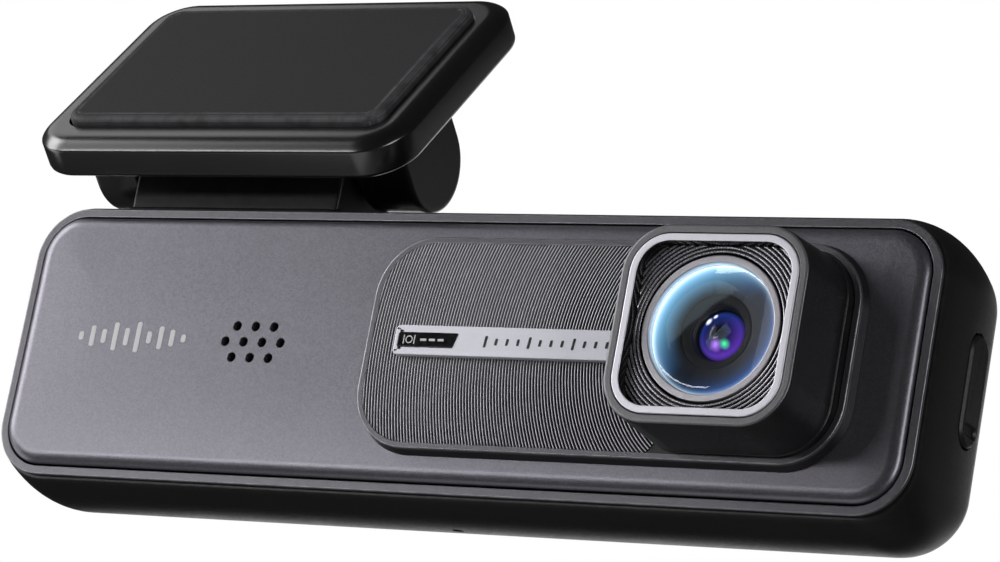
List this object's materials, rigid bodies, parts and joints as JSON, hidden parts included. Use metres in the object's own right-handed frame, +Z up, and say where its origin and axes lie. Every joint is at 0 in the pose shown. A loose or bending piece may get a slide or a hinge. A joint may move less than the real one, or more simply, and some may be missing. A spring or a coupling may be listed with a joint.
{
  "type": "dash camera",
  "caption": "Slim bar-shaped dash camera with a square raised lens block, ripple-textured plate and speaker grille, hung from a sloping adhesive windscreen bracket by a friction hinge.",
  "frame": {"origin": "middle of the adhesive pad's outer face, which lies on the windscreen", "axes": "+X to the right as the lens side is looked at, the lens faces -Y, +Z up"},
  "size_m": [0.1128, 0.0307, 0.063],
  "materials": {
    "bracket_plastic": "fine moulded texture, half matt",
    "pad_foam": "closed foam tape, matt",
    "steel": "zinc plated",
    "brass": "turned",
    "housing_plastic": "fine spark texture",
    "neck_plastic": "satin",
    "bezel_grey": "satin metallic grey",
    "panel_gunmetal": "brushed gunmetal, satin",
    "mesh_cloth": "fine black mesh",
    "rubber": "matt",
    "speaker_metal": "plain",
    "block_black": "semi gloss",
    "ripple_metal": "turned ripples, bright",
    "badge_silver": "bright satin",
    "gloss_black": "gloss",
    "trim_metal": "bright anodised, cool tint",
    "groove_metal": "turned circular grooves",
    "cover_glass": "coated window",
    "baffle_grey": "matt",
    "barrel_black": "matt, light absorbing",
    "coated_glass": "violet anti-reflection coat",
    "filter_glass": "infrared filter",
    "chip_black": "moulded package",
    "board_green": "solder mask",
    "flex_amber": "polyimide film",
    "thermal_pad": "soft silicone",
    "aluminium": "satin",
    "sleeve_blue": "shrink sleeve",
    "socket_steel": "pressed sheet",
    "door_rubber": "satin elastomer",
    "lamp_white": "translucent"
  },
  "bodies": {
    "bracket": {"mount_bracket": "bracket_plastic", "adhesive_pad": "pad_foam", "hinge_screw": "steel", "friction_washer": "steel", "lock_washer": "steel", "hinge_nut": "brass", "hinge_cap": "bracket_plastic"},
    "camera": {"rear_housing": "housing_plastic", "housing_screw_1": "steel", "housing_screw_2": "steel", "housing_screw_3": "steel", "housing_screw_4": "steel", "hinge_neck": "neck_plastic", "neck_screw_1": "steel", "neck_screw_2": "steel", "front_bezel": "bezel_grey", "front_panel": "panel_gunmetal", "speaker_mesh": "mesh_cloth", "speaker_gasket": "rubber", "speaker": "speaker_metal", "island_base": "block_black", "ripple_plate": "ripple_metal", "badge_strip": "badge_silver", "badge_inset": "gloss_black", "lens_housing": "block_black", "lens_trim_ring": "trim_metal", "groove_plate": "groove_metal", "lens_ring": "bezel_grey", "cover_glass": "cover_glass", "light_baffle": "baffle_grey", "lens_barrel": "barrel_black", "front_element": "coated_glass", "second_element": "coated_glass", "aperture_stop": "barrel_black", "rear_element": "coated_glass", "lens_holder": "barrel_black", "infrared_filter": "filter_glass", "image_sensor": "chip_black", "sensor_board": "board_green", "sensor_flex": "flex_amber", "main_board": "board_green", "board_screw_1": "steel", "board_screw_2": "steel", "processor": "chip_black", "thermal_pad": "thermal_pad", "heat_spreader": "aluminium", "memory_chip": "chip_black", "wireless_module": "aluminium", "supercapacitor_1": "sleeve_blue", "supercapacitor_2": "sleeve_blue", "usb_socket": "socket_steel", "card_socket": "socket_steel", "button_switch": "socket_steel", "status_lamp": "lamp_white", "light_pipe": "lamp_white", "microphone": "speaker_metal"},
    "card_door": {"card_door": "door_rubber"},
    "memory_card": {"memory_card": "gloss_black"},
    "rear_button": {"rear_button": "neck_plastic"}
  },
  "joints": [
    {"name": "hinge_tilt", "type": "hinge", "parent": "bracket", "child": "camera", "pos_m": [-0.00075, 0.00498, -0.00987], "axis": [1, 0, 0], "range_deg": [-12, 50]},
    {"name": "card_door_swing", "type": "hinge", "parent": "camera", "child": "card_door", "pos_m": [0.08875, 0.00508, -0.03988], "axis": [0, 1, 0], "range_deg": [0, 105]},
    {"name": "memory_card_push", "type": "slide", "parent": "camera", "child": "memory_card", "axis": [-1, 0, 0], "range_m": [0, 0.0008], "stiffness_N_per_m": 800, "springref_m": -0.0006},
    {"name": "rear_button_press", "type": "slide", "parent": "camera", "child": "rear_button", "axis": [0, -1, 0], "range_m": [0, 0.0005], "stiffness_N_per_m": 1500, "springref_m": -0.0004}
  ]
}
